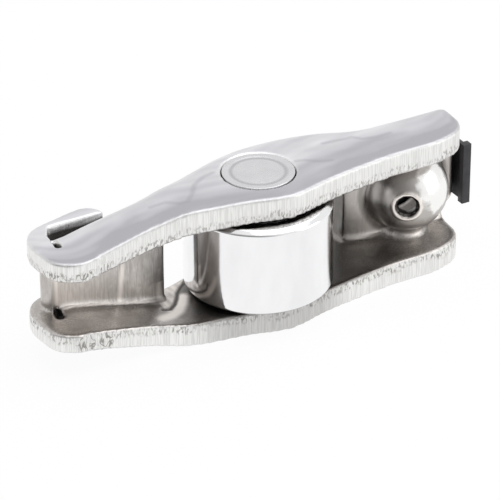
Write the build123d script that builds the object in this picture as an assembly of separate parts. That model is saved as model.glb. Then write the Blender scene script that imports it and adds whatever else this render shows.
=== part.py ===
from build123d import *
from math import asin, cos, floor, pi, radians, sin
import os

# Roller finger follower: a stamped steel arm with a roller on needle bearings, a pallet for
# the valve stem at one end (-X) and a drawn ball socket for the lash adjuster at the other (+X).
# Frame: the roller's axis is Z, and X runs along the arm. -Y is the cam's side, where the channel
# is open; +Y is the side of the valve and the lash adjuster. The arm is drawn symmetric about
# Z = 0 and then lifted by half its width, so that it lies on one cheek at Z = 0. Millimetres.

# Roller and its needle bearing
roller_radius = 8.5            # tread that runs on the cam lobe
roller_width = 10.8
roller_chamfer = 0.5
axle_radius = 4.2
needle_radius = 1.0
needle_length = 10.2
needle_end_chamfer = 0.2
bearing_clearance = 0.02       # radial, between needles and axle, and needles and ring
needle_spacing = 0.02          # least gap between neighbouring needles
axle_edge_chamfer = 0.2
stake_groove_radius = 3.05     # ring pressed into each axle end, which swells it into the cheek
stake_groove_width = 0.35
stake_groove_depth = 0.22

# Sheet metal of the arm
cheek_sheet = 2.85             # cheek thickness beside the roller
valve_cheek_sheet = 2.35       # the same at the valve end, where the stamping is drawn thinner
web_sheet = 2.3
bend_radius = 3.0              # outside of the fold between web and cheek
fold_radius = 0.8              # inside of the same fold
roller_side_clearance = 0.3    # from the roller's end to a cheek
guide_gap = 6.6                # between the two guide lips, for the valve stem

# Plan of the arm: the cheeks run parallel past the roller and close in towards the valve
taper_start_x = -11.3
taper_end_x = -23.3
taper_start_blend = 9.0
taper_end_blend = 4.5
socket_end_x = 26.2            # end of the cheeks at the lash adjuster
nose_x = -27.5                 # end of the cheeks at the valve

# Rim of the cheeks on the cam's side, as heights above the roller's axis towards -Y
valve_rim = 4.2
valve_rim_end = 3.5            # how far before the taper the level rim ends
hump_stand_back = 1.65         # how far the rim's hump stays below the roller's tread
hump_top_x = 0.4
hump_half_length = 9.0
hump_flank_share = 0.46        # of that length, where the hump is half way down
shoulder_rim = 5.1             # foot of the hump, on both sides
socket_rim = 3.4
socket_corner_length = 2.4     # where the rim rounds over into the cheek's end
socket_corner_height = 5.4
socket_corner_middle = (0.75, 1.35)  # from the cheek's end, and from the rim
socket_corner_slope = 0.4      # of the rim where it starts

# Back of the arm on the valve's side, as distances from the roller's axis towards +Y
pallet_back = 4.15
pallet_x = -19.0               # where the valve's tip touches
pallet_fall = 0.2              # how far its back falls off by the far side of the nose
waist_back = 3.75              # dip between the pallet and the roller
waist_x = -12.6
belly_back = 7.45              # bulge beside the roller
belly_x = 1.0
belly_steep_length = 5.2       # from the bulge's top to its steep side, and the drop there
belly_steep_drop = 1.2
belly_gentle_length = 11.0     # from the bulge's top to its gentle side
belly_gentle_share = 0.505     # of the bulge's height that is left there
socket_back = 4.6
socket_flat_reach = 2.0        # how far the slope runs on past the dome's near side

# Window in the web for the roller
window_gap = 2.6               # from the roller's tread to the window's ends, at the web
window_corner = 0.7
window_set_back = 2.1          # further to its end at the socket, where the ring is put in

# Valve end: guide lips and the slot that frees them from the pallet
slot_x = -24.3                 # end of the fold between pallet and cheek
slot_width = 0.85
slot_start_y = 0.35            # root of the slot in the cheek
slot_corner = 0.35
slot_lean = 0.5                # how far the slot bends towards the pallet at the web
slot_lean_length = 1.5
lip_gap = 0.9                  # from the pallet's back to the lip's edge
lip_reach = 7.1                # lowest point of the lips, beyond the valve's tip
lip_end_x = -16.9
lip_tip_length = 2.2           # over which the lip's end is rounded off
lip_tip_middle = (0.5, 0.75)   # of that round, from the lip's end and from its lowest line
nose_rim_corner = ((2.0, 0.4), (0.55, 1.65), (0.03, 4.0))  # from the nose's front and the rim
nose_lip_corner = ((0.12, 4.1), (1.6, 1.9), (5.0, 0.75))   # from its front and the lip's lowest line
lip_end_slope = 0.1            # of the lip where its tip starts
nose_overlap = 0.3             # how far a nose reaches into its cheek, past the slot
pallet_overhang = 1.4          # how far the pallet's tongue goes past the fold's end
tongue_clearance = 0.4         # between that tongue and the lips' inner faces
tongue_round = 1.5             # on the cam's side of its tip
tongue_edge_round = 0.6        # on the valve's side
pallet_coining = 0.3           # how far the pallet's tongue bulges on the cam's side

# Socket for the ball of the lash adjuster
socket_x = 20.7
ball_radius = 3.5
socket_clearance = 0.05
dome_sheet = 1.45
ball_centre_below_back = 2.85  # how deep the ball's centre lies under the web's back
dome_fillet = 0.7
mouth_chamfer = 0.6
oil_hole_radius = 1.1
oil_hole_tilt = 30.0           # degrees from straight up towards the roller
oil_hole_countersink = 0.45
lobe_length = 1.4              # how far the web goes past the cheeks at this end
lobe_half_width = 3.3          # at its tip
lobe_root_half_width = 4.9
lobe_root = 0.3                # how far inside the cheeks' end it starts
lobe_corner = 0.7

# Clip that holds the lash adjuster in its socket
clip_sheet = 1.05
clip_half_width = 5.2          # plate against the web's back
clip_lip_half_width = 3.85
clip_neck_half_width = 3.35    # where the lip passes the web's end
clip_lip_stand_out = 1.4       # how far the lip rises above the web's inner face
clip_ear = 0.9                 # height of the wide part of the lip
clip_slot_radius = 3.0         # round the neck of the lash adjuster
clip_slot_mouth = 5.2          # narrower, so that the neck snaps in
clip_arm_length = 3.4          # reach of its arms past the ball's centre, towards the roller
clip_bend_radius = 0.45        # inside of its fold
clip_corner = 0.8
clip_seat_gap = 0.02

# Worked-out sizes
half_gap = roller_width / 2 + roller_side_clearance
half_width = half_gap + cheek_sheet
valve_half_gap = guide_gap / 2
valve_half_width = valve_half_gap + valve_cheek_sheet
pitch_radius = axle_radius + bearing_clearance + needle_radius
ring_bore_radius = pitch_radius + needle_radius + bearing_clearance
needle_count = floor(pi / asin((needle_radius + needle_spacing / 2) / pitch_radius))
hump_rim = roller_radius - hump_stand_back
socket_radius = ball_radius + socket_clearance
dome_radius = socket_radius + dome_sheet
ball_centre_y = socket_back - ball_centre_below_back
web_end_x = socket_end_x + lobe_length
far = 60.0                     # longer than anything that it cuts
near = 0.02                    # two places closer than this are one


def lifted(solid):
    """Moves a piece drawn about the mid-plane up to where the arm lies on its cheek."""
    return Pos(0, 0, half_width) * solid


def across(side_view, half):
    """Solid from a side view, reaching half its width to each side of the mid-plane."""
    return Pos(0, 0, -half) * extrude(side_view, 2 * half)


def through(plan_view):
    """Solid from a plan, endless along Y."""
    return Pos(0, far, 0) * extrude(plan_view, 2 * far, dir=(0, -1, 0))


def above_curve(offset):
    """Side view of all on the cam's side of the web's back, or with an offset of its inner face."""
    gentle_back = socket_back + belly_gentle_share * (belly_back - socket_back)
    stations = [
        (nose_x - bend_radius, pallet_back - pallet_fall),
        (pallet_x, pallet_back),
        (waist_x, waist_back),
        (belly_x - belly_steep_length, belly_back - belly_steep_drop),
        (belly_x, belly_back),
        (belly_x + belly_gentle_length, gentle_back),
        (socket_x - dome_radius + socket_flat_reach, socket_back),
    ]
    curve = Spline(*[(x, back - offset) for x, back in stations], tangents=[(1, 0), (1, 0)])
    start_x, end_x = nose_x - bend_radius, web_end_x + bend_radius
    edge = Polyline(curve @ 1, (end_x, socket_back - offset), (end_x, -far), (start_x, -far), curve @ 0)
    return make_face([curve, *edge.edges()])


def corners_at(face, *places):
    """Corners of a face at the given places."""
    return [
        v for v in face.vertices()
        if any((Vector(v) - Vector(*place)).length < near for place in places)
    ]


def plan(half_wide, half_narrow, reach):
    """Plan of the arm or of its channel: parallel past the roller, closing in to the valve."""
    outline = Polyline(
        (-far, half_narrow),
        (taper_end_x, half_narrow),
        (taper_start_x, half_wide),
        (reach, half_wide),
        (reach, -half_wide),
        (taper_start_x, -half_wide),
        (taper_end_x, -half_narrow),
        (-far, -half_narrow),
        close=True,
    )
    face = Plane.XZ * make_face(outline)
    starts = [v for v in face.vertices() if abs(v.X - taper_start_x) < near]
    face = fillet(starts, taper_start_blend)
    ends = [v for v in face.vertices() if abs(v.X - taper_end_x) < near]
    return fillet(ends, taper_end_blend)


def channel(half_wide, half_narrow, offset, radius):
    """Solid with the arm's plan and the web's curve, its two long folds rounded."""
    side = across(above_curve(offset), far / 2)
    solid = side & through(plan(half_wide, half_narrow, far))
    lengthwise = [e for e in solid.edges() if abs((e % 0.5).X) > 0.5]
    return fillet([e for e in lengthwise if (e @ 0.5).Y > -far / 2], radius)


def cheek_outline():
    """Side view of the arm from the slot's root to the socket end, as the cheeks are blanked."""
    start = (slot_x + 2 * nose_overlap, -valve_rim)
    half_way_rim = -(shoulder_rim + hump_rim) / 2
    half_way_x = hump_flank_share * hump_half_length
    rim = Spline(
        start,
        (taper_start_x - valve_rim_end, -valve_rim),
        (-hump_half_length, -shoulder_rim),
        (hump_top_x - half_way_x, half_way_rim),
        (hump_top_x, -hump_rim),
        (hump_top_x + half_way_x, half_way_rim),
        (hump_half_length, -shoulder_rim),
        ((hump_half_length + socket_end_x) / 2, -(shoulder_rim + socket_rim) / 2),
        (socket_end_x - socket_corner_length, -socket_rim),
        tangents=[(1, 0), (1, socket_corner_slope)],
    )
    along, up = socket_corner_middle
    corner = Spline(
        rim @ 1,
        (socket_end_x - along, -socket_rim + up),
        (socket_end_x, -socket_rim + socket_corner_height),
        tangents=[(1, socket_corner_slope), (0, 1)],
    )
    end = Polyline(corner @ 1, (socket_end_x, far), (slot_x, far), (slot_x, -valve_rim), start)
    return make_face([rim, corner, *end.edges()])


def nose_outline():
    """Side view of a cheek's nose and guide lip, which hook round the slot."""
    lip_edge_y = pallet_back + lip_gap
    tip_start = (lip_end_x - lip_tip_length, lip_reach)
    outside = Spline(
        (slot_x, -valve_rim),
        *[(nose_x + along, -valve_rim + up) for along, up in nose_rim_corner],
        *[(nose_x + along, lip_reach - down) for along, down in nose_lip_corner],
        tip_start,
        tangents=[(-1, 0), (1, lip_end_slope)],
        tangent_scalars=[1, 1],
    )
    along, down = lip_tip_middle
    tip = ThreePointArc(tip_start, (lip_end_x - along, lip_reach - down), (lip_end_x, lip_edge_y))
    front_x = slot_x - slot_width
    turns = [
        (slot_x + slot_lean, lip_edge_y),
        (front_x + slot_lean, lip_edge_y - slot_lean_length),
        (front_x, slot_start_y),
    ]
    inside = Polyline(
        (lip_end_x, lip_edge_y),
        *turns,
        (slot_x + nose_overlap, slot_start_y),
        (slot_x + nose_overlap, -valve_rim),
        (slot_x, -valve_rim),
    )
    face = make_face([outside, tip, *inside.edges()])
    return fillet(corners_at(face, *turns), slot_corner)


def tongue():
    """Side view of the web's tongue, its tip rolled over where the pallet has been coined."""
    tip_x = slot_x - pallet_overhang
    inner_y = pallet_back - web_sheet - pallet_coining
    outer_y = pallet_back
    face = Pos(slot_x, (inner_y + outer_y) / 2) * Rectangle(2 * pallet_overhang, outer_y - inner_y)
    face = fillet(corners_at(face, (tip_x, inner_y)), tongue_round)
    return fillet(corners_at(face, (tip_x, outer_y)), tongue_edge_round)


def blank():
    """What stays of the folded channel: its cheeks, and the web's tongue and lobe past them."""
    root_x = socket_end_x - lobe_root
    lobe = make_face(Polyline(
        (socket_x, -lobe_root_half_width), (root_x, -lobe_root_half_width),
        (web_end_x, -lobe_half_width), (web_end_x, lobe_half_width),
        (root_x, lobe_root_half_width), (socket_x, lobe_root_half_width),
        close=True,
    ))
    lobe = fillet([v for v in lobe.vertices() if v.X > socket_x + near], lobe_corner)
    ends = across(tongue(), valve_half_gap - tongue_clearance)
    ends = ends + extrude(Plane.XZ * lobe, far, dir=(0, 1, 0))
    return across(cheek_outline(), far / 2) + ends


def window():
    """Cutter for the roller's opening: blanked flat, so its long edges slant in the folds."""
    start_x = -(roller_radius + window_gap)
    end_x = roller_radius + window_gap + window_set_back
    outline = Plane.XZ * Pos((start_x + end_x) / 2, 0) * RectangleRounded(
        end_x - start_x, 2 * half_gap, window_corner)
    hole = through(outline)
    strip = Pos((start_x + end_x) / 2, 0) * Rectangle(end_x - start_x - window_corner, far)
    beyond = Pos(0, 0, half_gap - window_corner) * (strip - above_curve(web_sheet + window_corner))
    flank = extrude(beyond, 3 * cheek_sheet, dir=(0, 1, 1))
    return hole, flank + mirror(flank, Plane.XY)


def on_ball(tilt, radius):
    """Point at a distance from the ball's centre, tilted from the cam's side towards the roller."""
    return (
        socket_x - radius * sin(radians(tilt)),
        ball_centre_y - radius * cos(radians(tilt)),
        0,
    )


def ball_hollow():
    """Cutter for the ball and its neck: half a ball, a straight wall and a flared mouth."""
    wall_x = socket_x + socket_radius
    bowl = RadiusArc((socket_x, ball_centre_y - socket_radius), (wall_x, ball_centre_y), -socket_radius)
    wall = Polyline(
        bowl @ 1,
        (wall_x, socket_back - mouth_chamfer),
        (wall_x + 2 * mouth_chamfer, socket_back + mouth_chamfer),
        (socket_x, socket_back + mouth_chamfer),
        bowl @ 0,
    )
    upright = Axis((socket_x, 0, 0), (0, 1, 0))
    return revolve(make_face([bowl, *wall.edges()]), upright)


def make_arm():
    """One stamping: blanked, folded into a channel, coined at the pallet and drawn at the socket."""
    outer = channel(half_width, valve_half_width, 0, bend_radius)
    gap = channel(half_gap, valve_half_gap, web_sheet, fold_radius)
    arm = (outer - gap) & blank()
    nose = Pos(0, 0, valve_half_gap) * extrude(nose_outline(), valve_cheek_sheet)
    arm = arm + nose + mirror(nose, Plane.XY)

    hole, flanks = window()
    arm = arm - hole - flanks

    centre = Pos(socket_x, ball_centre_y, 0)
    dome = centre * Sphere(dome_radius)
    dome = dome & across(above_curve(web_sheet / 2), far)
    arm = arm + dome
    foot = [
        e for e in arm.edges()
        if all(abs((e @ at - Vector(socket_x, ball_centre_y, 0)).length - dome_radius) < near
               for at in (0, 0.4, 0.9))
    ]
    arm = fillet(foot, min(dome_fillet, half_gap - dome_radius))
    arm = arm - ball_hollow()

    tilt = radians(oil_hole_tilt)
    outward = Plane(on_ball(oil_hole_tilt, 0), z_dir=(-sin(tilt), -cos(tilt), 0))
    arm = arm - extrude(outward * Circle(oil_hole_radius), 2 * dome_radius)
    sunk = Pos(*on_ball(oil_hole_tilt, dome_radius - oil_hole_countersink))
    start = sunk * Plane((0, 0, 0), z_dir=outward.z_dir)
    arm = arm - loft([
        start * Circle(oil_hole_radius),
        Pos(*(outward.z_dir * 2 * oil_hole_countersink)) * start
        * Circle(oil_hole_radius + 2 * oil_hole_countersink),
    ])

    return arm - Cylinder(axle_radius, far)


def make_axle():
    """Hardened pin, staked at both ends into the cheeks."""
    pin = Cylinder(axle_radius, 2 * half_width)
    ends = [e for e in pin.edges() if e.geom_type == GeomType.CIRCLE]
    pin = chamfer(ends, axle_edge_chamfer)
    inner = stake_groove_radius - stake_groove_width
    for side in (-1, 1):
        groove = Cylinder(stake_groove_radius, stake_groove_depth)
        groove = groove - Cylinder(inner, stake_groove_depth)
        pin = pin - Pos(0, 0, side * (half_width - stake_groove_depth / 2)) * groove
    return pin


def make_roller():
    """Outer ring of the needle bearing, whose outside is the cam roller."""
    ring = Cylinder(roller_radius, roller_width)
    rims = [e for e in ring.edges() if e.geom_type == GeomType.CIRCLE]
    ring = chamfer(rims, roller_chamfer)
    return ring - Cylinder(ring_bore_radius, roller_width)


def make_needle(angle):
    """Needle at an angle round the axle, loose between it and the ring."""
    needle = Cylinder(needle_radius, needle_length)
    needle = chamfer(needle.edges().filter_by(GeomType.CIRCLE), needle_end_chamfer)
    return Rot(0, 0, angle) * Pos(pitch_radius, 0, 0) * needle


def make_clip():
    """Spring-steel fork against the web's back, its lip folded up round the web's end."""
    back_y = socket_back + clip_seat_gap
    lip_x = web_end_x + clip_bend_radius
    lip_top = socket_back - web_sheet - clip_lip_stand_out
    start_x = socket_x - clip_arm_length
    side = make_face(Polyline(
        (start_x, back_y),
        (lip_x, back_y),
        (lip_x, lip_top),
        (lip_x + clip_sheet, lip_top),
        (lip_x + clip_sheet, back_y + clip_sheet),
        (start_x, back_y + clip_sheet),
        close=True,
    ))
    side = fillet(corners_at(side, (lip_x, back_y)), clip_bend_radius)
    outer = corners_at(side, (lip_x + clip_sheet, back_y + clip_sheet))
    side = fillet(outer, clip_bend_radius + clip_sheet)
    strip = across(side, clip_half_width)

    plate = Pos((start_x + web_end_x) / 2, 0) * RectangleRounded(
        web_end_x - start_x, 2 * clip_half_width, clip_corner)
    lip_reach_x = lip_x + clip_sheet - socket_x
    neck = Pos(socket_x + lip_reach_x / 2, 0) * Rectangle(lip_reach_x, 2 * clip_neck_half_width)
    slot = Pos(socket_x, 0) * Circle(clip_slot_radius)
    slot = slot + Pos(socket_x - far / 2, 0) * Rectangle(far, clip_slot_mouth)
    outline = through(Plane.XZ * (plate + neck - slot))
    lip = Pos(lip_x + clip_sheet / 2, 0) * Rectangle(clip_sheet, 2 * clip_lip_half_width)
    ears = Pos(0, lip_top, 0) * extrude(Plane.XZ * lip, clip_ear, dir=(0, 1, 0))
    return strip & (outline + ears)


os.makedirs("parts", exist_ok=True)
export_step(lifted(make_arm()), "parts/arm_body.step")
export_step(lifted(make_axle()), "parts/axle.step")
export_step(lifted(make_roller()), "parts/roller.step")
export_step(lifted(make_clip()), "parts/retaining_clip.step")
for index in range(needle_count):
    angle = 360 * index / needle_count
    export_step(lifted(make_needle(angle)), f"parts/needle_{index + 1:02d}.step")
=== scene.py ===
from math import cos, pi, radians, sin

import bmesh
import bpy
from mathutils import Matrix, Vector, noise


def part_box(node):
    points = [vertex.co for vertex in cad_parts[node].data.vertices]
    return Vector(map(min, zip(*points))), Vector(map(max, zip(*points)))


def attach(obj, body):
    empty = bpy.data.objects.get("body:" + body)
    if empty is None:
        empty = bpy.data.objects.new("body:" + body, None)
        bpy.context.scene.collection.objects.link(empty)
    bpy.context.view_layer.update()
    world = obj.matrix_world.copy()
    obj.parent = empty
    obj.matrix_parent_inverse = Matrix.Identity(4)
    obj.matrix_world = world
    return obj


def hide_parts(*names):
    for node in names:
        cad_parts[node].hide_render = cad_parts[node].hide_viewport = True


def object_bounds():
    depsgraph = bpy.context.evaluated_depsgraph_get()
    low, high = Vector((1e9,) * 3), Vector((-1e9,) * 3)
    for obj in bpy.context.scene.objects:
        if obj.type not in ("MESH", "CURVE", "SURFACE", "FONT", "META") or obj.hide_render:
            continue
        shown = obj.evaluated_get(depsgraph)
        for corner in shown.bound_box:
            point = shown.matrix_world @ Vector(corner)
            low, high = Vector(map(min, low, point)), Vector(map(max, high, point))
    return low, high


# Roller finger follower of an engine's valve train: a stamped arm, a roller on needles round a
# staked axle, and a spring clip at the ball socket. It lies on one cheek, with its open channel
# towards -Y. Sizes are in metres, and mm turns a millimetre into them.
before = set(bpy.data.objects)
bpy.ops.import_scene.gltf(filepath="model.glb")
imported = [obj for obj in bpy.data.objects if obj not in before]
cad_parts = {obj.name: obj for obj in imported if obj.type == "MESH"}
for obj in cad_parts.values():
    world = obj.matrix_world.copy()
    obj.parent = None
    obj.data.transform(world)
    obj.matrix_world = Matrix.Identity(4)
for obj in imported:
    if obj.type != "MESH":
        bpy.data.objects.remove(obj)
cad_low, cad_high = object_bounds()
scene = bpy.context.scene
mm = 0.001


# ---- Bench and light -------------------------------------------------------------------------
# A plain white bench in a white tent that is open, and so darker, at the valve end's front. Two
# soft lamps and the tent's own light reach the bench, where the arm leaves a faint shadow.
bench_radius = 2.5
bench_sides = 96
bench_colour = (0.86, 0.86, 0.87, 1)
bench_glow = 1.04
bench_shown_white = 0.88
tent_colour = (1.0, 1.0, 1.0, 1)
tent_light = 0.55
tent_seen = 0.95
open_side = (0.8, 0.6, 0)
open_side_seen = 0.30
open_side_from = -0.85
open_side_to = -0.45

bench_mesh = bpy.data.meshes.new("bench")
bm = bmesh.new()
bmesh.ops.create_circle(bm, cap_ends=True, segments=bench_sides, radius=bench_radius)
bm.to_mesh(bench_mesh)
bm.free()
bench = bpy.data.objects.new("bench", bench_mesh)
scene.collection.objects.link(bench)

bench_paper = bpy.data.materials.new("bench_paper")
bench_paper.use_nodes = True
tree = bench_paper.node_tree
tree.nodes.clear()
rays = tree.nodes.new("ShaderNodeLightPath")
paper = tree.nodes.new("ShaderNodeBsdfDiffuse")
paper.inputs["Color"].default_value = bench_colour
glow = tree.nodes.new("ShaderNodeEmission")
glow.inputs["Strength"].default_value = bench_glow
shown = tree.nodes.new("ShaderNodeMath")
shown.operation = "MULTIPLY"
shown.inputs[1].default_value = bench_shown_white
seen_in_metal = tree.nodes.new("ShaderNodeMath")
seen_in_metal.operation = "MAXIMUM"
share = tree.nodes.new("ShaderNodeMath")
share.operation = "MAXIMUM"
mixed = tree.nodes.new("ShaderNodeMixShader")
surface = tree.nodes.new("ShaderNodeOutputMaterial")
tree.links.new(rays.outputs["Is Camera Ray"], shown.inputs[0])
tree.links.new(rays.outputs["Is Glossy Ray"], seen_in_metal.inputs[0])
tree.links.new(rays.outputs["Is Transmission Ray"], seen_in_metal.inputs[1])
tree.links.new(shown.outputs[0], share.inputs[0])
tree.links.new(seen_in_metal.outputs[0], share.inputs[1])
tree.links.new(share.outputs[0], mixed.inputs["Fac"])
tree.links.new(paper.outputs["BSDF"], mixed.inputs[1])
tree.links.new(glow.outputs["Emission"], mixed.inputs[2])
tree.links.new(mixed.outputs["Shader"], surface.inputs["Surface"])
bench_mesh.materials.append(bench_paper)

world = bpy.data.worlds.new("white_tent")
scene.world = world
world.use_nodes = True
tree = world.node_tree
background = tree.nodes["Background"]
background.inputs["Color"].default_value = tent_colour
rays = tree.nodes.new("ShaderNodeLightPath")
white_for_camera = tree.nodes.new("ShaderNodeMath")
white_for_camera.operation = "MAXIMUM"
white_for_metal = tree.nodes.new("ShaderNodeMath")
white_for_metal.operation = "MAXIMUM"
strength = tree.nodes.new("ShaderNodeMapRange")
strength.inputs["To Min"].default_value = tent_light
way = tree.nodes.new("ShaderNodeTexCoord")
from_open_side = tree.nodes.new("ShaderNodeVectorMath")
from_open_side.operation = "DOT_PRODUCT"
from_open_side.inputs[1].default_value = open_side
seen = tree.nodes.new("ShaderNodeMapRange")
seen.inputs["From Min"].default_value = open_side_from
seen.inputs["From Max"].default_value = open_side_to
seen.inputs["To Min"].default_value = open_side_seen
seen.inputs["To Max"].default_value = tent_seen
tree.links.new(way.outputs["Generated"], from_open_side.inputs[0])
tree.links.new(from_open_side.outputs["Value"], seen.inputs["Value"])
tree.links.new(seen.outputs["Result"], strength.inputs["To Max"])
tree.links.new(rays.outputs["Is Camera Ray"], white_for_camera.inputs[0])
tree.links.new(rays.outputs["Is Glossy Ray"], white_for_camera.inputs[1])
tree.links.new(white_for_camera.outputs[0], white_for_metal.inputs[0])
tree.links.new(rays.outputs["Is Transmission Ray"], white_for_metal.inputs[1])
tree.links.new(white_for_metal.outputs[0], strength.inputs["Value"])
tree.links.new(strength.outputs["Result"], background.inputs["Strength"])

lamp_above_place = (0.12, -0.02, 0.45)
lamp_above_width = 0.50
lamp_above_power = 0.8
lamp_right_place = (0.42, -0.34, 0.17)
lamp_right_width = 0.36
lamp_right_power = 0.36
arm_middle = (cad_low + cad_high) / 2


def soft_lamp(name, place, target, width, power):
    """A square lamp aimed at a point."""
    light = bpy.data.lights.new(name, "AREA")
    light.size = width
    light.energy = power
    lamp = bpy.data.objects.new(name, light)
    lamp.location = place
    lamp.rotation_euler = (Vector(target) - Vector(place)).to_track_quat("-Z", "Y").to_euler()
    scene.collection.objects.link(lamp)


soft_lamp("lamp_above", lamp_above_place, arm_middle, lamp_above_width, lamp_above_power)
soft_lamp("lamp_right", lamp_right_place, arm_middle, lamp_right_width, lamp_right_power)

# The camera looks down on the cam's side of the arm, from a little towards the valve's end.
camera_turn = radians(30)
camera_rise = radians(29.67)
camera_distance = 382.8 * mm
camera_slide = 0.93 * mm
camera_lift = 1.40 * mm
lens_length = 244.8
sensor_width = 36
nearest_seen = 0.01
farthest_seen = 20

across = Vector((cos(camera_turn), -sin(camera_turn), 0))
look = Vector((sin(camera_turn) * cos(camera_rise), cos(camera_turn) * cos(camera_rise), -sin(camera_rise)))
upwards = across.cross(look)
camera_data = bpy.data.cameras.new("camera")
camera_data.lens = lens_length
camera_data.sensor_width = sensor_width
camera_data.clip_start = nearest_seen
camera_data.clip_end = farthest_seen
camera = bpy.data.objects.new("camera", camera_data)
roller_centre = Vector((0, 0, arm_middle.z))
camera_place = roller_centre - across * camera_slide - upwards * camera_lift - look * camera_distance
camera_axes = Matrix((across, upwards, -look)).transposed().to_4x4()
camera.matrix_world = Matrix.Translation(camera_place) @ camera_axes
scene.collection.objects.link(camera)
scene.camera = camera
scene.view_settings.view_transform = "Standard"


# ---- Arm body ---------------------------------------------------------------------------------
# One stamping of case-hardened sheet steel, folded into a channel and tumbled, and darker inside.
# Its cheeks keep the press's marks on their cut edges: a burnished band next to the outer face,
# then torn metal.
arm_low, arm_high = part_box("arm_body")
middle_z = (arm_low.z + arm_high.z) / 2
half_width = (arm_high.z - arm_low.z) / 2
cheek_sheet = 2.85 * mm
web_sheet = 2.3 * mm
fold_radius = 3.0 * mm
half_gap = half_width - cheek_sheet
valve_half_width = 5.65 * mm
valve_half_gap = 3.3 * mm
taper_start_x = -11.3 * mm
taper_end_x = -23.3 * mm
skin_size = 0.22 * mm
skin_smoothing = 4
smoothing_share = 0.5
cad_weld = 0.002 * mm


def ramp(value, low, high):
    """0 below low, 1 above high and smooth between them; low may be the larger."""
    share = min(1.0, max(0.0, (value - low) / (high - low)))
    return share * share * (3 - 2 * share)


def band(value, middle, far, near):
    """1 nearer than near to a middle value, 0 past far from it and smooth between them."""
    return ramp(abs(value - middle), far, near)


def rough(x, y, z, size):
    """Smooth random value from -1 to 1 with lumps of a size."""
    return noise.noise(Vector((x, y, z)) / size)


def merged_copy(node_name, piece_name):
    """A new piece from a CAD node's mesh, with its loose triangles joined."""
    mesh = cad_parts[node_name].data.copy()
    mesh.name = piece_name
    mesh.materials.clear()
    shape = bmesh.new()
    shape.from_mesh(mesh)
    bmesh.ops.remove_doubles(shape, verts=shape.verts, dist=cad_weld)
    shape.to_mesh(mesh)
    shape.free()
    piece = bpy.data.objects.new(piece_name, mesh)
    scene.collection.objects.link(piece)
    return piece


def half_sizes(x):
    """Half the channel's gap and half the arm's width at a place along it."""
    share = min(1.0, max(0.0, (taper_start_x - x) / (taper_start_x - taper_end_x)))
    gap = half_gap + (valve_half_gap - half_gap) * share
    width = half_width + (valve_half_width - half_width) * share
    return gap, width


arm = merged_copy("arm_body", "arm_stamping")

# The window's long edges: the fold reaches up to them with its full thickness, so a strip of it
# stands above the slanted cut. Each strip is a bar along X that melts into the fold in the skin.
# A ray from the back finds the fold, a little way round its bend.
window_start = -11.2 * mm
window_end = 13.3 * mm
strip_steps = 40
strip_bends = (3, 14, 25, 36, 45)
strip_sink = 0.02 * mm
strip_reach_inside = 0.2 * mm
strip_reach_outside = 0.3 * mm
strip_foot = 0.8 * mm
probe_y = 50 * mm
probe_z = 7.9 * mm
fold_centre_z = half_width - fold_radius
fold_drop = fold_radius - (fold_radius ** 2 - (probe_z - fold_centre_z) ** 2) ** 0.5


def strip_section(back):
    """A strip's corners as places in y and z, inside a fold whose back is at a place in y."""
    corners = [(back - web_sheet - strip_reach_inside, half_gap), (back - strip_sink, half_gap)]
    for bend in strip_bends:
        turn = radians(bend)
        corners.append((back - fold_radius * (1 - cos(turn)), fold_centre_z + fold_radius * sin(turn)))
    corners.append((back - web_sheet - strip_reach_outside, half_gap + strip_foot))
    return corners


bm = bmesh.new()
bm.from_mesh(arm.data)
for side in (-1, 1):
    edges = []
    ends = []
    for step in range(strip_steps + 1):
        x = window_start + (window_end - window_start) * step / strip_steps
        behind = Vector((x, probe_y, middle_z + side * probe_z))
        _, place, _, _ = arm.ray_cast(behind, (0, -1, 0))
        ring = [bm.verts.new((x, y, middle_z + side * z)) for y, z in strip_section(place.y + fold_drop)]
        edges += [bm.edges.new(pair) for pair in zip(ring, ring[1:] + ring[:1])]
        if step in (0, strip_steps):
            ends.append(bm.faces.new(ring))
    strip = bmesh.ops.bridge_loops(bm, edges=edges)
    bmesh.ops.recalc_face_normals(bm, faces=strip["faces"] + ends)
bm.to_mesh(arm.data)
bm.free()

skin = arm.modifiers.new("skin", "REMESH")
skin.mode = "VOXEL"
skin.voxel_size = skin_size
coarse = arm.data
arm.data = bpy.data.meshes.new_from_object(arm.evaluated_get(bpy.context.evaluated_depsgraph_get()))
arm.modifiers.clear()
bpy.data.meshes.remove(coarse)

bm = bmesh.new()
bm.from_mesh(arm.data)
for _ in range(skin_smoothing):
    bmesh.ops.smooth_vert(bm, verts=bm.verts, factor=smoothing_share,
                          use_axis_x=True, use_axis_y=True, use_axis_z=True)
bm.normal_update()

# Marks on the skin. Each is a share from 0 to 1, and a pair of limits says where it starts and
# where it is full: places in x and y from the roller's axis and in z from the arm's middle, turns
# of the normal, or depths in a cheek's sheet, from 0 at its inner face to 1 at its outer face.

# Cut edges, torn on their inner side, and most at the corner of the valve's end
rim_turn = (0.35, 0.05)
nose_limits = (-24.0 * mm, -25.5 * mm)
lip_start = (4.6 * mm, 5.0 * mm)
lip_limits = (-16 * mm, -17 * mm)
socket_end_turn = (0.5, 0.8)
socket_end_limits = (24 * mm, 25 * mm)
edge_turn = (0.75, 0.45)
edge_depth = (-0.12, 0.0)
torn_share = 0.38
torn_wander = 0.20
torn_wander_size = 2.8 * mm
torn_blur = 0.08
torn_strength = 0.55
corner_start = (-20.2 * mm, -21.2 * mm)
corner_end = (-25.6 * mm, -24.8 * mm)
upper_corner_tear = 0.15
lower_corner_tear = 0.6
rounding_start = (0.15, 0.45)
rounding_end = (0.98, 0.9)
rounding_depth = (0.6, 0.9)


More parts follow.
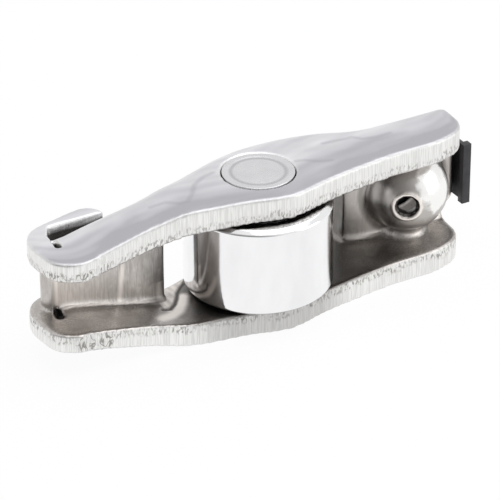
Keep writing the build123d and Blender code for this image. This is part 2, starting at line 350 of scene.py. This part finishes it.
def cut_edge(x, y, normal, depth):
    """The cheeks' rim on the cam's side, and the edges of the nose, the lips and the socket's end."""
    rim = ramp(normal.y, *rim_turn)
    nose = ramp(x, *nose_limits)
    lip = ramp(y, *lip_start) * ramp(x, *lip_limits)
    socket_end = ramp(normal.x, *socket_end_turn) * ramp(x, *socket_end_limits)
    edge = max(rim, nose, lip, socket_end)
    return edge * ramp(abs(normal.z), *edge_turn) * ramp(depth, *edge_depth)


def torn_metal(x, y, z, depth):
    """The torn share of a cut edge."""
    corner = ramp(x, *corner_start) * ramp(x, *corner_end)
    limit = torn_share + torn_wander * rough(x, y, 0, torn_wander_size)
    limit += corner * (upper_corner_tear if z > 0 else lower_corner_tear)
    strength = torn_strength + (1 - torn_strength) * corner
    return strength * ramp(depth, limit + torn_blur, limit - torn_blur)


def rounded_corner(normal, depth):
    """The corner between a cut edge and the cheek's outer face, which gets a painted highlight."""
    turn = abs(normal.z)
    return ramp(turn, *rounding_start) * ramp(turn, *rounding_end) * ramp(depth, *rounding_depth)


# Channel, with a painted highlight along the crease in its folds, a smear on the pallet, painted highlight
# lines on its tongue and painted light on its web and cheeks
channel_depth = (0.1, -0.1)
channel_turn = (0.3, 0.8)
back_turn = (0.4, 0.7)
web_turn = (0.7, 0.9)
crease_evenness = (0.40, 0.1)
crease_turn = (0.45, 0.6)
crease_level = (0.4, 0.15)
crease_from_ball = (5.6 * mm, 7.5 * mm)
crease_by_dome = 0.35
smear_x = -16.5 * mm
smear_slant = 0.1
smear_limits = (0.45 * mm, 0.1 * mm)
smear_top = (2.5 * mm, -1 * mm)
pallet_light = 0.38
pallet_limits = (-12 * mm, -23 * mm)
socket_web_light = 0.5
cheek_light = 0.12
cheek_limits = (-13 * mm, -21 * mm)
tongue_lines = (-25.85 * mm, -24.6 * mm)
tongue_line_limits = (0.35 * mm, 0.1 * mm)
tongue_limits = (-24.2 * mm, -24.4 * mm)
tongue_turn = (0.2, 0.5)


def within_channel(normal, depth, inward):
    """The inside of the channel, on its cheeks and its web."""
    channel = min(1.0, ramp(depth, *channel_depth) + ramp(inward, *channel_turn))
    return channel * (1 - ramp(normal.y, *back_turn))


def fold_crease(normal, inward, dome, ball_distance):
    """The line in the folds where cheek turns to web, for a painted highlight, fainter beside the dome."""
    crease = band(-normal.y, inward, *crease_evenness) * ramp(-normal.y, *crease_turn)
    crease *= ramp(abs(normal.x), *crease_level) * (1 - dome)
    return crease * (crease_by_dome + (1 - crease_by_dome) * ramp(ball_distance, *crease_from_ball))


def pallet_smear(x, z):
    """A rubbed line that slants across the pallet's web and fades towards the upper cheek."""
    return band(x - smear_slant * z, smear_x, *smear_limits) * ramp(z, *smear_top)


def painted_channel_light(x, within, web):
    """Painted light on the web and, faintly, on the cheeks at the valve's end."""
    web_light = pallet_light * ramp(x, *pallet_limits) if x < 0 else socket_web_light
    return max(web * web_light, cheek_light * within * ramp(x, *cheek_limits))


def tongue_highlight_lines(x, normal):
    """Two painted highlight lines on the pallet's tongue."""
    lines = max(band(x, line, *tongue_line_limits) for line in tongue_lines)
    return lines * ramp(x, *tongue_limits) * ramp(-normal.y, *tongue_turn)


# Dome over the ball, with a painted highlight on a rubbed patch and on the oil hole's raised rim, and painted
# shade in the oil hole, in the hollow and round the dome's foot
ball_centre = Vector((20.7 * mm, 1.75 * mm, middle_z))
dome_radius = 5.0 * mm
dome_limits = (0.5 * mm, 0.25 * mm)
dome_back = (2.2 * mm, 1.6 * mm)
highlight_way = Vector((0.22, -0.86, 0.46)).normalized()
highlight_height = 0.7
highlight_limits = (0.62, 0.30)
highlight_wander = 0.14
highlight_wander_size = 1.3 * mm
oil_turn = radians(30)
oil_axis = Vector((-sin(oil_turn), -cos(oil_turn), 0))
oil_front = 2 * mm
oil_rim_radius = 1.6 * mm
oil_rim_limits = (0.3 * mm, 0.1 * mm)
oil_wall_limits = (1.45 * mm, 1.25 * mm)
hollow_limits = (4.1 * mm, 3.8 * mm)
hollow_front = (4 * mm, 3 * mm)
foot_radius = dome_radius + 0.5 * mm
foot_limits = (0.9 * mm, 0.3 * mm)
foot_back = (0.6 * mm, 1.6 * mm)


def ball_dome(y, from_ball):
    """The drawn dome's outside."""
    return band(from_ball.length, dome_radius, *dome_limits) * ramp(y, *dome_back)


def worn_highlight_patch(x, y, z, from_ball):
    """A painted highlight on the dome's front, where it is rubbed smoother."""
    from_patch = from_ball.normalized() - highlight_way
    from_patch.z *= highlight_height
    return ramp(from_patch.length + highlight_wander * rough(x, y, z, highlight_wander_size), *highlight_limits)


def oil_hole(from_ball):
    """The oil hole's rim, for a painted highlight, and its wall, for painted shade."""
    ahead = from_ball.dot(oil_axis)
    if ahead <= oil_front:
        return 0.0, 0.0
    from_oil = (from_ball - oil_axis * ahead).length
    return band(from_oil, oil_rim_radius, *oil_rim_limits), ramp(from_oil, *oil_wall_limits)


def ball_hollow(y, ball_distance):
    """Painted shade in the hollow that takes the ball, from the back."""
    return ramp(ball_distance, *hollow_limits) * ramp(y, *hollow_front)


def dome_foot_shade(y, ball_distance):
    """Painted shade in the groove where the dome leaves the web."""
    return band(ball_distance, foot_radius, *foot_limits) * ramp(y, *foot_back)


# Painted shade on shadowed places: the slot, the window's ends and the metal close to the roller; and a
# darker stretch of the lower cheek's edge
slot_start = (-25.5 * mm, -25.2 * mm)
slot_end = (-23.4 * mm, -23.9 * mm)
slot_front = (0.1 * mm, 0.5 * mm)
under_lip_start = (4.4 * mm, 4.7 * mm)
under_lip_end = (5.5 * mm, 5.3 * mm)
under_lip_limits = (-16.5 * mm, -17 * mm)
slot_turn = (0.8, 0.5)
slot_inner_depth = (-0.2, -0.05)
slot_outer_depth = (0.72, 0.55)
slot_opening = (-24.5 * mm, -17.5 * mm)
slot_opening_loss = 0.45
window_middle = (window_start + window_end) / 2
window_wall_turn = (0.6, 0.8)
window_wall_start = (11.6 * mm, 12.0 * mm)
window_wall_end = (12.9 * mm, 12.5 * mm)
roller_reach = 8.5 * mm
full_shade_reach = 0.5 * mm
valve_side_shade_reach = 6.5 * mm
socket_side_shade_reach = 11 * mm
lower_shade = 0.85
upper_shade = 0.7
lower_cheek_top = -3 * mm
darkening_x = -1 * mm
darkening_limits = (12 * mm, 5 * mm)


def slot_shadow(x, y, normal, depth):
    """The slot's walls and those under the lip, dark less far out where the slot opens."""
    in_slot = ramp(x, *slot_start) * ramp(x, *slot_end) * ramp(y, *slot_front)
    under_lip = ramp(y, *under_lip_start) * ramp(y, *under_lip_end) * ramp(x, *under_lip_limits)
    loss = slot_opening_loss * ramp(x, *slot_opening)
    wall = max(in_slot, under_lip) * ramp(abs(normal.z), *slot_turn) * ramp(depth, *slot_inner_depth)
    return wall * ramp(depth, slot_outer_depth[0] - loss, slot_outer_depth[1] - loss)


def window_end_wall(x, normal):
    """Painted shade on the walls at the window's two ends."""
    facing = ramp(abs(normal.x), *window_wall_turn)
    return facing * band(x, window_middle, *window_wall_start) * band(x, window_middle, *window_wall_end)


def roller_shade(x, y, z):
    """The roller's shade on the channel, deeper on the lower cheek."""
    reach = valve_side_shade_reach if x < 0 else socket_side_shade_reach
    from_roller = Vector((x, y)).length - roller_reach
    return ramp(from_roller, reach, full_shade_reach) * (lower_shade if z < lower_cheek_top else upper_shade)


def lower_edge_darkening(x, z):
    """A darker stretch of the lower cheek's edge in front of the roller."""
    return band(x, darkening_x, *darkening_limits) if z < 0 else 0.0


# Marks of the press: coined flats beside the axle. On the lower cheek, a sunk line round the window's corner
# with painted shade along it, a painted reflection of the roller beside it, and painted light on the flank
# behind it. A path's points are in millimetres, in x and y.
coined_paths = (
    ((-13.9, -0.3), (-12.3, -0.8), (-11.2, -2.1), (-10.2, -2.2),
     (-9.0, -1.0), (-7.8, 0.7), (-6.1, 1.8), (-4.6, 2.2)),
    ((4.8, -0.1), (5.8, -0.4), (7.1, -1.5), (8.4, -1.9)),
    ((9.6, 2.0), (12.3, 1.7), (13.2, 1.7), (14.0, 0.7), (15.6, 0.3), (17.5, 0.4)),
)
coined_width = 0.45 * mm
coined_turn = (0.85, 0.95)
coined_least = 0.5
path_core = 0.2
shade_line_path = ((-12.6, -0.5), (-11.7, -0.6), (-10.7, 0.2), (-9.9, 1.2), (-9.2, 2.3), (-8.4, 3.1), (-7.5, 3.9))
shade_line_width = 0.42 * mm
roller_glint_path = ((-13.8, -2.5), (-12.5, -2.1), (-11.1, -1.3), (-9.9, 0.0), (-9.0, 1.3))
roller_glint_width = 1.15 * mm
window_marks_end_x = -6 * mm
window_marks_turn = -0.5
flank_slope = 1.2
flank_height = (13.0 * mm, 13.4 * mm)
flank_limits = (-12.4 * mm, -12.1 * mm)
flank_grain = 0.5 * mm
flank_stretch = 3
flank_evenness = 0.8
flank_wander = 0.4


def on_path(x, y, path, width):
    """1 on a path of points in millimetres, and smoothly 0 at a distance from it."""
    least = 1.0
    here = Vector((x, y)) / mm
    for start, end in zip(path, path[1:]):
        start, along = Vector(start), Vector(end) - Vector(start)
        share = min(1.0, max(0.0, (here - start).dot(along) / along.length_squared))
        least = min(least, (here - start - along * share).length)
    return ramp(least * mm, width, path_core * width)


def coined_flats(x, y, normal, within):
    """The edges of the flats on both cheeks' outer faces."""
    if ramp(abs(normal.z), *coined_turn) * (1 - within) <= coined_least:
        return 0.0
    return max(on_path(x, y, path, coined_width) for path in coined_paths)


def window_marks(x, y, z, normal):
    """The sunk line with its painted shade, the painted reflection of the roller, and the painted light on
    the flank.
    """
    if z >= lower_cheek_top or normal.z <= window_marks_turn or x >= window_marks_end_x:
        return 0.0, 0.0, 0.0
    shade_line = on_path(x, y, shade_line_path, shade_line_width)
    roller_glint = on_path(x, y, roller_glint_path, roller_glint_width)
    flank = ramp(y - flank_slope * x, *flank_height) * ramp(x, *flank_limits) * (1 - shade_line)
    flank *= flank_evenness + flank_wander * rough(x, y / flank_stretch, 0, flank_grain)
    return shade_line, roller_glint, flank


# The rim's place along the arm, as the least y of the cheeks' flat faces at each station
station = 1.0 * mm
flat_turn = 0.9
rim_at = {}
for vert in bm.verts:
    if abs(vert.normal.z) > flat_turn:
        number = round(vert.co.x / station)
        rim_at[number] = min(rim_at.get(number, 0.0), vert.co.y)
first_station, last_station = min(rim_at), max(rim_at)


def from_rim(x, y):
    """Distance back from the cheeks' rim on the cam's side."""
    low = int(x // station)
    share = x / station - low
    ends = [rim_at[min(last_station, max(first_station, number))] for number in (low, low + 1)]
    return y - (ends[0] * (1 - share) + ends[1] * share)


# The marks are painted on the skin for its material, and some are raised or sunk in it
crease_highlight = 0.8
smear_light = 0.9
tongue_highlight = 0.9
oil_rim_highlight = 0.9
roller_glint_strength = 0.8
roller_glint_clearing = 0.9
flank_painted_light = 0.7
window_end_shade = 0.8
foot_shade = 0.6
oil_wall_shade = 0.9
hollow_shade = 0.8
darkening_strength = 0.36
tear_depth = 0.035 * mm
tear_height = 0.05 * mm
tear_size = 0.45 * mm
coin_depth = 0.025 * mm
shade_line_depth = 0.12 * mm
dent_height = 0.03 * mm
dent_size = 4 * mm
crease_height = 0.042 * mm
crease_wander = 0.03 * mm
crease_wander_size = 1.5 * mm
oil_rim_height = 0.14 * mm
oil_mouth_depth = 0.22 * mm
streak_stretch = 7
streak_size = 1.1 * mm
rim_distance_unit = 10 * mm
mark_names = ("cut_edge", "inside", "torn", "rim_distance", "bright", "dome", "worn_highlight", "dark", "coined",
              "streaks", "rounding")
layer = {name: bm.verts.layers.float.new(name) for name in mark_names}
for vert in bm.verts:
    x, y, z = vert.co.x, vert.co.y, vert.co.z - middle_z
    normal = vert.normal
    inward = -normal.z * (1 if z > 0 else -1)
    gap, width = half_sizes(x)
    depth = (abs(z) - gap) / (width - gap)
    from_ball = vert.co - ball_centre
    ball_distance = from_ball.length
    rim_distance = from_rim(x, y)

    edge = cut_edge(x, y, normal, depth)
    tear = edge * torn_metal(x, y, z, depth)
    within = within_channel(normal, depth, inward)
    web = within * ramp(-normal.y, *web_turn)
    dome = (1 - edge) * ball_dome(y, from_ball)
    worn_highlight = dome * worn_highlight_patch(x, y, z, from_ball)
    crease = within * fold_crease(normal, inward, dome, ball_distance)
    oil_rim, oil_wall = oil_hole(from_ball)
    oil_rim *= dome
    coined = coined_flats(x, y, normal, within)
    shade_line, roller_glint, flank = window_marks(x, y, z, normal)
    flank *= within
    shade = within * roller_shade(x, y, z) * (1 - max(roller_glint_clearing * roller_glint, flank))

    # Painted highlights and painted light, and the rubbed smear
    bright = max(
        crease_highlight * crease,
        smear_light * web * pallet_smear(x, z),
        tongue_highlight * tongue_highlight_lines(x, normal),
        oil_rim_highlight * oil_rim,
        roller_glint_strength * within * roller_glint,
        flank_painted_light * flank,
        (1 - dome) * painted_channel_light(x, within, web),
    )
    # Painted shade and shadow, and the darker stretch of the lower edge
    dark = max(
        slot_shadow(x, y, normal, depth),
        shade,
        window_end_shade * within * window_end_wall(x, normal),
        foot_shade * web * dome_foot_shade(y, ball_distance),
        oil_wall_shade * oil_wall,
        hollow_shade * ball_hollow(y, ball_distance),
        darkening_strength * edge * lower_edge_darkening(x, z),
        shade_line,
    )
    streaks = rough(x / streak_stretch, rim_distance, z, streak_size)
    values = (edge, within, tear, rim_distance / rim_distance_unit, bright, dome, worn_highlight, dark, coined, streaks,
              rounded_corner(normal, depth))
    for name, value in zip(mark_names, values):
        vert[layer[name]] = value

    push = crease * (crease_height + crease_wander * rough(x, 0, 0, crease_wander_size))
    push += oil_rim * oil_rim_height
    push -= tear * (tear_depth + tear_height * rough(x, y, z, tear_size))
    push -= coin_depth * coined + shade_line_depth * shade_line
    push -= oil_wall * dome * oil_mouth_depth
    push += (1 - edge) * dent_height * rough(x, y, z, dent_size)
    vert.co += normal * push
bm.to_mesh(arm.data)
bm.free()
arm.data.shade_smooth()


def shader_of(name):
    """A new material, its node tree and its Principled shader."""
    material = bpy.data.materials.new(name)
    material.use_nodes = True
    return material, material.node_tree, material.node_tree.nodes["Principled BSDF"]


def grain(tree, size, stretch=(1, 1, 1), detail=3.0, twist=0.0):
    """Noise on the piece's own coordinates, with spots of a size, longer along some axes."""
    place = tree.nodes.new("ShaderNodeTexCoord")
    turn = tree.nodes.new("ShaderNodeMapping")
    turn.inputs["Scale"].default_value = [1 / (size * s) for s in stretch]
    spots = tree.nodes.new("ShaderNodeTexNoise")
    spots.inputs["Scale"].default_value = 1.0
    spots.inputs["Detail"].default_value = detail
    spots.inputs["Distortion"].default_value = twist
    tree.links.new(place.outputs["Object"], turn.inputs["Vector"])
    tree.links.new(turn.outputs["Vector"], spots.inputs["Vector"])
    return spots.outputs["Fac"]


def spread(tree, value, low, high, to_low=0.0, to_high=1.0):
    """Stretches a value's range low to high over another."""
    node = tree.nodes.new("ShaderNodeMapRange")
    for name, number in zip(("From Min", "From Max", "To Min", "To Max"), (low, high, to_low, to_high)):
        node.inputs[name].default_value = number
    tree.links.new(value, node.inputs["Value"])
    return node.outputs["Result"]


def product(tree, first, second, kind="MULTIPLY"):
    """Two values multiplied, or combined in another way."""
    node = tree.nodes.new("ShaderNodeMath")
    node.operation = kind
    for socket, value in zip(node.inputs, (first, second)):
        if isinstance(value, (int, float)):
            socket.default_value = value
        else:
            tree.links.new(value, socket)
    return node.outputs[0]


def between(tree, share, first, second):
    """A colour between two others."""
    node = tree.nodes.new("ShaderNodeMix")
    node.data_type = "RGBA"
    tree.links.new(share, node.inputs["Factor"])
    a, b = [s for s in node.inputs if s.type == "RGBA"]
    for socket, colour in ((a, first), (b, second)):
        if isinstance(colour, tuple):
            socket.default_value = (*colour, 1)
        else:
            tree.links.new(colour, socket)
    return [s for s in node.outputs if s.type == "RGBA"][0]


def painted(tree, name):
    """An attribute of the mesh."""
    node = tree.nodes.new("ShaderNodeAttribute")
    node.attribute_name = name
    return node.outputs["Fac"]


def roughen(tree, shader, height, depth):
    """Bump of a depth in metres, on top of what the shader has."""
    node = tree.nodes.new("ShaderNodeBump")
    node.inputs["Distance"].default_value = depth
    tree.links.new(height, node.inputs["Height"])
    taken = shader.inputs["Normal"].links
    if taken:
        tree.links.new(taken[0].from_socket, node.inputs["Normal"])
    tree.links.new(node.outputs["Normal"], shader.inputs["Normal"])


stamped_steel, tree, shader = shader_of("stamped_steel")
shader.inputs["Metallic"].default_value = 1.0

# Outer faces: clouds, and a painted shade that streaks back from the rim
outer_light = (0.80, 0.795, 0.82)
outer_shade = (0.46, 0.455, 0.485)
coined_grey = (0.34, 0.335, 0.36)
coined_strength = 0.35
cloud_size = 7 * mm
cloud_stretch = (1.6, 1, 1)
cloud_range = (0.35, 0.65)
cloud_strength = 0.25
rim_shade_range = (0.05, 0.62)
rim_shade_strength = 0.80
streak_range = (-0.5, 0.5)
streak_strength = 0.35
clouds = spread(tree, grain(tree, cloud_size, stretch=cloud_stretch, detail=2.0, twist=0.8), *cloud_range)
rim_painted_shade = spread(tree, painted(tree, "rim_distance"), *rim_shade_range, rim_shade_strength, 0.0)
streaks = spread(tree, painted(tree, "streaks"), *streak_range, 0.0, streak_strength)
shade = product(tree, product(tree, clouds, cloud_strength), product(tree, rim_painted_shade, streaks, "ADD"), "ADD")
outside = between(tree, shade, outer_light, outer_shade)
outside = between(tree, product(tree, painted(tree, "coined"), coined_strength), outside, coined_grey)

# Channel: grime and the press's fine hatch, with the dome and its painted highlight, and the bright marks:
# painted highlights, painted light and a smear
inner_brown = (0.585, 0.56, 0.54)
inner_dark = (0.37, 0.345, 0.325)
bright_tint = (0.93, 0.87, 0.82)
dome_matte = (0.48, 0.46, 0.44)
dome_highlight = (0.90, 0.895, 0.88)
grime_size = 1.6 * mm
grime_range = (0.38, 0.66)
hatch_size = 0.2 * mm
hatch_stretch = (1, 1, 8)
hatch_range = (0.35, 0.65)
patch_size = 0.9 * mm
patch_range = (0.72, 1.10)
grime = spread(tree, grain(tree, grime_size, detail=4.0, twist=0.6), *grime_range)
hatch = spread(tree, grain(tree, hatch_size, stretch=hatch_stretch, detail=2.0), *hatch_range)
channel_colour = between(tree, product(tree, grime, hatch, "MAXIMUM"), inner_brown, inner_dark)
patches = product(tree, painted(tree, "worn_highlight"), grain(tree, patch_size, detail=4.0), "ADD")
dome_colour = between(tree, spread(tree, patches, *patch_range), dome_matte, dome_highlight)
channel_colour = between(tree, painted(tree, "dome"), channel_colour, dome_colour)
# Painted highlights and painted light, and the smear, in a pale tint
channel_colour = between(tree, painted(tree, "bright"), channel_colour, bright_tint)

# Cut edges: fine lines across the sheet, with pits where it is torn and cracks at the corner
edge_white = (0.86, 0.855, 0.84)
edge_grey = (0.71, 0.705, 0.69)
torn_grey = (0.34, 0.33, 0.315)
line_size = 0.10 * mm
line_stretch = (1, 1, 30)
line_range = (0.40, 0.60)
pit_size = 0.26 * mm
pit_stretch = (1, 1, 2)
pit_range = (0.50, 0.60)
stain_size = 3.2 * mm
stain_range = (0.40, 0.62)
stain_least = 0.45
torn_range = (0.0, 0.5)
crack_size = 0.8 * mm
crack_stretch = (1, 1, 2)
crack_middle = 0.5
crack_range = (0.010, 0.045)
corner_range = (0.6, 0.95)
corner_clearing = 0.6
lines = spread(tree, grain(tree, line_size, stretch=line_stretch, detail=1.0), *line_range)
pits = spread(tree, grain(tree, pit_size, stretch=pit_stretch, detail=4.0), *pit_range)
stains = spread(tree, grain(tree, stain_size, detail=2.0), *stain_range, stain_least, 1.0)
waves = grain(tree, crack_size, stretch=crack_stretch, detail=1.0, twist=0.6)
waves = product(tree, waves, crack_middle, "SUBTRACT")
at_corner = spread(tree, painted(tree, "torn"), *corner_range)
cracks = spread(tree, product(tree, waves, 0, "ABSOLUTE"), *crack_range, 1.0, 0.0)
cracks = product(tree, cracks, at_corner)
marks = product(tree, product(tree, pits, stains), spread(tree, painted(tree, "torn"), *torn_range))
marks = product(tree, marks, product(tree, at_corner, corner_clearing), "SUBTRACT")
marks = product(tree, marks, cracks, "MAXIMUM")
cut_colour = between(tree, lines, edge_white, edge_grey)
cut_colour = between(tree, marks, cut_colour, torn_grey)

# All of them together, with the tumbled surface
shadow_dark = (0.075, 0.07, 0.065)
rounding_highlight = 0.4
gloss_size = 2.2 * mm
gloss_range = (0.3, 0.7)
plain_gloss = (0.30, 0.40)
torn_dulling = 0.15
worn_polish = 0.14
rounding_dulling = 0.10
tumbling_size = 0.25 * mm
tumbling_depth = 0.005 * mm
pit_depth = 0.04 * mm
colour = between(tree, painted(tree, "inside"), outside, channel_colour)
colour = between(tree, painted(tree, "cut_edge"), colour, cut_colour)
# A painted highlight along the rounded corner of the cut edges
colour = between(tree, product(tree, painted(tree, "rounding"), rounding_highlight), colour, edge_white)
# Painted shade and shadow, and the darker stretch of the lower edge
colour = between(tree, painted(tree, "dark"), colour, shadow_dark)
tree.links.new(colour, shader.inputs["Base Color"])
gloss = spread(tree, grain(tree, gloss_size, detail=3.0), *gloss_range, *plain_gloss)
gloss = product(tree, gloss, spread(tree, painted(tree, "torn"), 0, 1, 0.0, torn_dulling), "ADD")
gloss = product(tree, gloss, spread(tree, painted(tree, "worn_highlight"), 0, 1, 0.0, worn_polish), "SUBTRACT")
gloss = product(tree, gloss, spread(tree, painted(tree, "rounding"), 0, 1, 0.0, rounding_dulling), "ADD")
tree.links.new(gloss, shader.inputs["Roughness"])
roughen(tree, shader, grain(tree, tumbling_size, detail=2.0), tumbling_depth)
roughen(tree, shader, product(tree, pits, painted(tree, "torn")), pit_depth)
arm.data.materials.append(stamped_steel)
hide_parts("arm_body")
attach(arm, "arm")


# ---- Axle -------------------------------------------------------------------------------------
# Hardened pin, flush with both cheeks. A ring is pressed into each end, which swells it tight
# into its hole and leaves a shallow groove.
axle_low, axle_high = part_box("axle")
axle_radius = (axle_high.x - axle_low.x) / 2
axle_half = (axle_high.z - axle_low.z) / 2
axle_steps = 128
pole_weld = 0.001 * mm
axle_corner = 0.09 * mm
axle_sink = 0.02 * mm
bore_gap = 0.08 * mm
stake_radius = 3.1 * mm
stake_width = 0.30 * mm
stake_depth = 0.08 * mm
groove_shade_limits = (0.05 * mm, 0.35 * mm)
groove_shade_strength = 0.55
pin_grey = (0.66, 0.655, 0.67)
pin_light = (0.70, 0.695, 0.71)
groove_shade_grey = (0.36, 0.355, 0.37)
pin_cloud_size = 2.5 * mm
pin_cloud_range = (0.35, 0.65)
pin_gloss_size = 0.6 * mm
pin_gloss_range = (0.3, 0.7)
pin_gloss = (0.22, 0.32)


def turned(name, outline, steps, centre_z, closed=False):
    """A piece turned about the roller's axis, from its outline as radii and heights."""
    shape = bmesh.new()
    points = [shape.verts.new((radius, 0, height)) for radius, height in outline]
    pairs = list(zip(points, points[1:]))
    if closed:
        pairs.append((points[-1], points[0]))
    edges = [shape.edges.new(pair) for pair in pairs]
    bmesh.ops.spin(shape, geom=points + edges, cent=(0, 0, 0), axis=(0, 0, 1), dvec=(0, 0, 0),
                   angle=2 * pi, steps=steps, use_merge=True)
    bmesh.ops.remove_doubles(shape, verts=shape.verts, dist=pole_weld)
    bmesh.ops.recalc_face_normals(shape, faces=shape.faces)
    bmesh.ops.translate(shape, verts=shape.verts, vec=(0, 0, centre_z))
    mesh = bpy.data.meshes.new(name)
    shape.to_mesh(mesh)
    shape.free()
    mesh.shade_smooth()
    piece = bpy.data.objects.new(name, mesh)
    scene.collection.objects.link(piece)
    return piece


def rounded(outline, reach, corners=4):
    """An open outline with each inner corner cut round, at a reach along both of its sides."""
    result = [outline[0]]
    for before, corner, after in zip(outline, outline[1:], outline[2:]):
        here = Vector(corner)
        back = (Vector(before) - here).normalized() * reach
        ahead = (Vector(after) - here).normalized() * reach
        for step in range(corners + 1):
            share = step / corners
            result.append(tuple(here + back * (1 - share) ** 2 + ahead * share ** 2))
    return result + [outline[-1]]


end_face = axle_half - axle_sink
groove_start = stake_radius - 2 * stake_width
groove_end = stake_radius + 1.6 * stake_width
half_outline = [
    (0, end_face),
    (groove_start, end_face - axle_sink),
    (stake_radius - stake_width / 2, end_face - stake_depth),
    (stake_radius + stake_width / 2, end_face - stake_depth),
    (groove_end, end_face),
    (axle_radius - bore_gap, end_face),
    (axle_radius - bore_gap, 0),
]
upper = rounded(half_outline, axle_corner)
axle_outline = upper + [(radius, -height) for radius, height in reversed(upper[:-1])]
axle = turned("axle_pin", axle_outline, axle_steps, middle_z)
pin_steel, tree, shader = shader_of("pin_steel")
shader.inputs["Metallic"].default_value = 1.0
pin_clouds = spread(tree, grain(tree, pin_cloud_size, detail=2.0), *pin_cloud_range)
place = tree.nodes.new("ShaderNodeTexCoord")
flat = tree.nodes.new("ShaderNodeMapping")
flat.inputs["Scale"].default_value = (1, 1, 0)
radius = tree.nodes.new("ShaderNodeVectorMath")
radius.operation = "LENGTH"
tree.links.new(place.outputs["Object"], flat.inputs["Vector"])
tree.links.new(flat.outputs["Vector"], radius.inputs[0])
# Painted shade in the staked groove, a ring at the stake's radius
from_ring = product(tree, product(tree, radius.outputs["Value"], stake_radius, "SUBTRACT"), 0, "ABSOLUTE")
groove_shade = spread(tree, from_ring, *groove_shade_limits, groove_shade_strength, 0.0)
face = between(tree, pin_clouds, pin_grey, pin_light)
tree.links.new(between(tree, groove_shade, face, groove_shade_grey), shader.inputs["Base Color"])
roughness = spread(tree, grain(tree, pin_gloss_size), *pin_gloss_range, *pin_gloss)
tree.links.new(roughness, shader.inputs["Roughness"])
axle.data.materials.append(pin_steel)
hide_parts("axle")
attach(axle, "arm")


# ---- Roller -----------------------------------------------------------------------------------
# Outer ring of the needle bearing, turned from bearing steel with chamfered ends, then ground and
# polished. Its tread runs on the cam.
roller_low, roller_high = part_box("roller")
roller_radius = (roller_high.x - roller_low.x) / 2
roller_half = (roller_high.z - roller_low.z) / 2
roller_steps = 256
bore_radius = 6.24 * mm
roller_chamfer = 0.5 * mm
chamfer_slope = 1.15
roller_corner = 0.2 * mm
roller_corner_steps = 6
ground_bright = (0.88, 0.88, 0.89)
ground_grey = (0.82, 0.82, 0.83)
ground_gloss = (0.10, 0.15)
haze_size = 2.5 * mm
haze_stretch = (1, 1, 3)
haze_range = (0.3, 0.7)
grinding_size = 0.12 * mm
grinding_stretch = (4, 4, 1)
grinding_depth = 0.0006 * mm

tread = [
    (bore_radius, 0),
    (bore_radius, roller_half),
    (roller_radius - chamfer_slope * roller_chamfer, roller_half),
    (roller_radius, roller_half - roller_chamfer),
    (roller_radius, 0),
]
upper = rounded(tread, roller_corner, corners=roller_corner_steps)
roller_outline = upper + [(radius, -height) for radius, height in reversed(upper[1:-1])]
roller = turned("roller_ring", roller_outline, roller_steps, middle_z, closed=True)
ground_steel, tree, shader = shader_of("ground_steel")
shader.inputs["Metallic"].default_value = 1.0
haze = spread(tree, grain(tree, haze_size, stretch=haze_stretch), *haze_range)
tree.links.new(between(tree, haze, ground_bright, ground_grey), shader.inputs["Base Color"])
tree.links.new(spread(tree, haze, 0, 1, *ground_gloss), shader.inputs["Roughness"])
roughen(tree, shader, grain(tree, grinding_size, stretch=grinding_stretch), grinding_depth)
roller.data.materials.append(ground_steel)
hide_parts("roller")
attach(roller, "roller")


# ---- Needles ----------------------------------------------------------------------------------
# A full ring of hardened needles between axle and roller, drawn from bright wire. They are the
# frame's own nodes, under a finish of their own.
needle_bright = (0.72, 0.72, 0.73)
needle_grey = (0.60, 0.60, 0.61)
needle_gloss = 0.18
wire_grain = 0.5 * mm
wire_stretch = (1, 1, 6)

needle_steel, tree, shader = shader_of("needle_steel")
shader.inputs["Metallic"].default_value = 1.0
drawn = grain(tree, wire_grain, stretch=wire_stretch)
tree.links.new(between(tree, drawn, needle_bright, needle_grey), shader.inputs["Base Color"])
shader.inputs["Roughness"].default_value = needle_gloss
for name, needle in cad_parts.items():
    if name.startswith("needle_"):
        needle.data.materials.clear()
        needle.data.materials.append(needle_steel)


# ---- Retaining clip ---------------------------------------------------------------------------
# Fork of blackened spring steel, pressed from strip, with its lip folded up round the web's end.
# Its edges are broken, and its fork snaps round the neck of the lash adjuster.
flat_limit = radians(2)
sharp_limit = radians(40)
broken_edge = 0.1 * mm
broken_edge_segments = 3
black_metal_share = 0.6
black_dark = (0.042, 0.042, 0.046)
black_light = (0.064, 0.064, 0.068)
black_gloss = (0.38, 0.50)
film_size = 1.2 * mm
film_range = (0.35, 0.65)
black_grain = 0.15 * mm
black_grain_depth = 0.004 * mm

clip = merged_copy("retaining_clip", "clip_fork")
bm = bmesh.new()
bm.from_mesh(clip.data)
bmesh.ops.dissolve_limit(bm, angle_limit=flat_limit, verts=bm.verts, edges=bm.edges)
sharp = [edge for edge in bm.edges if len(edge.link_faces) == 2 and edge.calc_face_angle() > sharp_limit]
bmesh.ops.bevel(bm, geom=sharp, offset=broken_edge, offset_type="OFFSET", segments=broken_edge_segments,
                profile=0.5, affect="EDGES", clamp_overlap=True, material=-1)
bm.to_mesh(clip.data)
bm.free()
clip.data.shade_smooth()
blackened, tree, shader = shader_of("blackened_spring_steel")
shader.inputs["Metallic"].default_value = black_metal_share
film = spread(tree, grain(tree, film_size, detail=4.0), *film_range)
tree.links.new(between(tree, film, black_dark, black_light), shader.inputs["Base Color"])
tree.links.new(spread(tree, film, 0, 1, *black_gloss), shader.inputs["Roughness"])
roughen(tree, shader, grain(tree, black_grain), black_grain_depth)
clip.data.materials.append(blackened)
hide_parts("retaining_clip")
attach(clip, "arm")
